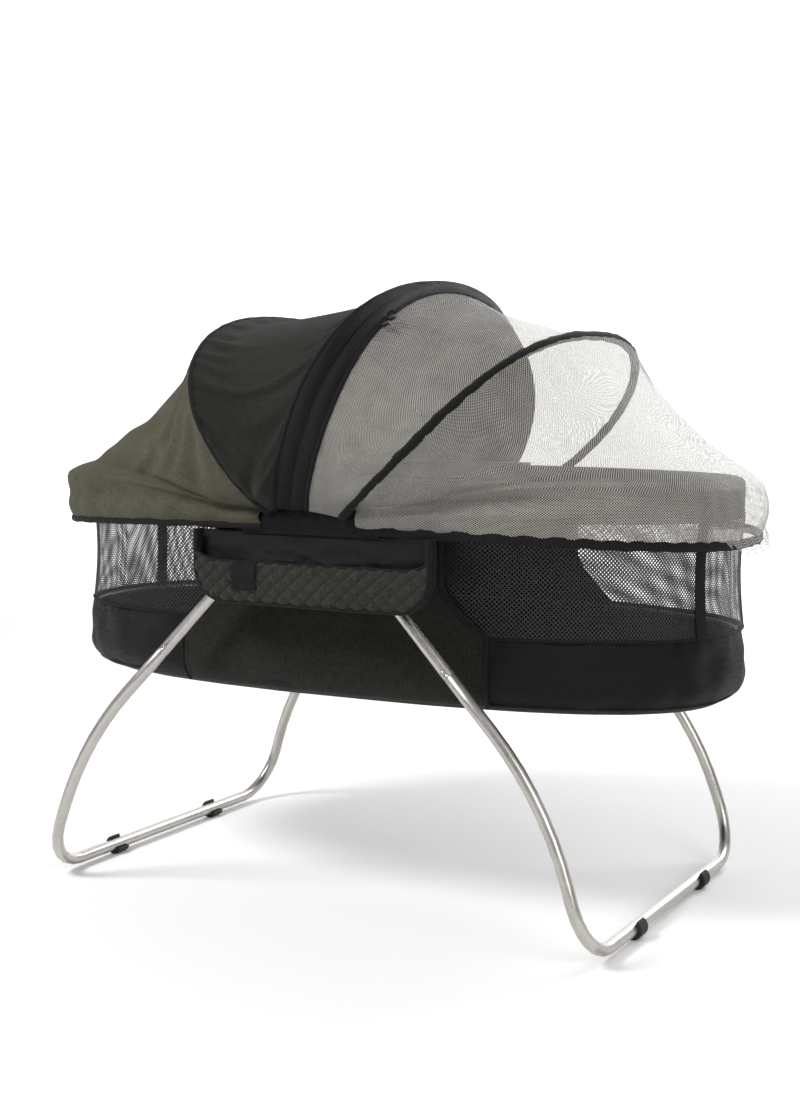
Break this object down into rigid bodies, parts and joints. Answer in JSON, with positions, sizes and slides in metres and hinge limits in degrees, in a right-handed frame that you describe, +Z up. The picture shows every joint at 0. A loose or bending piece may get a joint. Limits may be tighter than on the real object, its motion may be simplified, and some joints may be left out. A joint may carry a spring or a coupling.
{
  "type": "bassinet on folding stand",
  "caption": "Oval mesh-sided baby bassinet on two splayed U-shaped tube legs, with hooped fabric canopy, mosquito net and side pocket.",
  "frame": {"origin": "on the floor, below the middle of the basket", "axes": "+X towards the net end, -Y is the side with the pocket, +Z up"},
  "size_m": [1.011, 0.613, 0.8143],
  "materials": {
    "leg_tube": "satin drawn tube",
    "rim_tube": "satin drawn tube",
    "steel": "plated",
    "plastic": "fine moulded texture",
    "rubber": "matt",
    "black_nylon": "plain weave nylon",
    "charcoal_linen": "slubby linen-look weave",
    "olive_linen": "slubby linen-look weave",
    "black_mesh": "open knitted mesh",
    "net": "fine mosquito net",
    "quilted_charcoal": "diamond quilted",
    "mattress_cover": "knitted mesh over foam",
    "board": "hardboard"
  },
  "bodies": {
    "root": {"front_hub": "plastic", "rear_hub": "plastic", "front_canopy_pin": "steel", "rear_canopy_pin": "steel", "rim_tube_left": "rim_tube", "rim_tube_right": "rim_tube", "rim_band_left": "charcoal_linen", "rim_band_right": "charcoal_linen", "mesh_wall_left": "black_mesh", "mesh_wall_right": "black_mesh", "base_ring": "steel", "base_tub": "black_nylon", "base_board": "board", "mattress": "mattress_cover", "side_panel_front": "charcoal_linen", "side_panel_rear": "charcoal_linen", "pocket_back": "black_nylon", "pocket_binding": "black_nylon", "pocket_front": "quilted_charcoal", "pocket_tab": "black_nylon", "pocket_hanger_left": "black_nylon", "pocket_hanger_right": "black_nylon", "canopy_rear_panel": "olive_linen", "canopy_hem": "black_nylon", "hub_skirt_front": "black_nylon", "hub_skirt_rear": "black_nylon", "left_front_pivot_bolt": "steel", "left_rear_pivot_bolt": "steel", "right_front_pivot_bolt": "steel", "right_rear_pivot_bolt": "steel"},
    "rear_hoop": {"rear_hoop": "steel"},
    "visor_hoop": {"visor_hoop": "steel", "canopy_front_panel": "charcoal_linen", "visor_band": "black_nylon"},
    "net_hoop": {"net_hoop": "steel", "net_front_panel": "net", "net_end_panel": "net", "net_hem": "black_nylon"},
    "left_leg": {"left_lower_frame": "leg_tube", "left_front_upper_tube": "leg_tube", "left_front_knuckle": "plastic", "left_front_foot_pad": "rubber", "left_front_button_spring": "steel", "left_rear_upper_tube": "leg_tube", "left_rear_knuckle": "plastic", "left_rear_foot_pad": "rubber", "left_rear_button_spring": "steel"},
    "right_leg": {"right_lower_frame": "leg_tube", "right_front_upper_tube": "leg_tube", "right_front_knuckle": "plastic", "right_front_foot_pad": "rubber", "right_front_button_spring": "steel", "right_rear_upper_tube": "leg_tube", "right_rear_knuckle": "plastic", "right_rear_foot_pad": "rubber", "right_rear_button_spring": "steel"},
    "left_front_button": {"left_front_button": "steel"},
    "left_rear_button": {"left_rear_button": "steel"},
    "right_front_button": {"right_front_button": "steel"},
    "right_rear_button": {"right_rear_button": "steel"}
  },
  "joints": [
    {"name": "left_leg_fold", "type": "hinge", "parent": "root", "child": "left_leg", "pos_m": [-0.0654, 0, 0.48], "axis": [0, -1, 0], "range_deg": [0, 35]},
    {"name": "right_leg_fold", "type": "hinge", "parent": "root", "child": "right_leg", "pos_m": [0.0654, 0, 0.48], "axis": [0, 1, 0], "range_deg": [0, 35]},
    {"name": "canopy_fold", "type": "hinge", "parent": "root", "child": "rear_hoop", "pos_m": [0, 0, 0.505], "axis": [0, -1, 0], "range_deg": [0, 38], "deforming": ["canopy_rear_panel", "canopy_hem", "hub_skirt_front", "hub_skirt_rear"]},
    {"name": "visor_fold", "type": "hinge", "parent": "rear_hoop", "child": "visor_hoop", "pos_m": [0, 0, 0.505], "axis": [0, -1, 0], "range_deg": [0, 38], "deforming": ["canopy_front_panel", "visor_band"]},
    {"name": "net_hoop_fold", "type": "hinge", "parent": "visor_hoop", "child": "net_hoop", "pos_m": [0, 0, 0.505], "axis": [0, -1, 0], "range_deg": [0, 22], "deforming": ["net_front_panel", "net_end_panel", "net_hem"]},
    {"name": "left_front_button_press", "type": "slide", "parent": "left_leg", "child": "left_front_button", "axis": [0, 1, 0], "range_m": [0, 0.003], "stiffness_N_per_m": 400, "springref_m": -0.002, "deforming": ["left_front_button_spring"]},
    {"name": "left_rear_button_press", "type": "slide", "parent": "left_leg", "child": "left_rear_button", "axis": [0, -1, 0], "range_m": [0, 0.003], "stiffness_N_per_m": 400, "springref_m": -0.002, "deforming": ["left_rear_button_spring"]},
    {"name": "right_front_button_press", "type": "slide", "parent": "right_leg", "child": "right_front_button", "axis": [0, 1, 0], "range_m": [0, 0.003], "stiffness_N_per_m": 400, "springref_m": -0.002, "deforming": ["right_front_button_spring"]},
    {"name": "right_rear_button_press", "type": "slide", "parent": "right_leg", "child": "right_rear_button", "axis": [0, -1, 0], "range_m": [0, 0.003], "stiffness_N_per_m": 400, "springref_m": -0.002, "deforming": ["right_rear_button_spring"]}
  ],
  "couplings": [
    {"joint": "visor_fold", "follows": "canopy_fold", "ratio": 1}
  ]
}
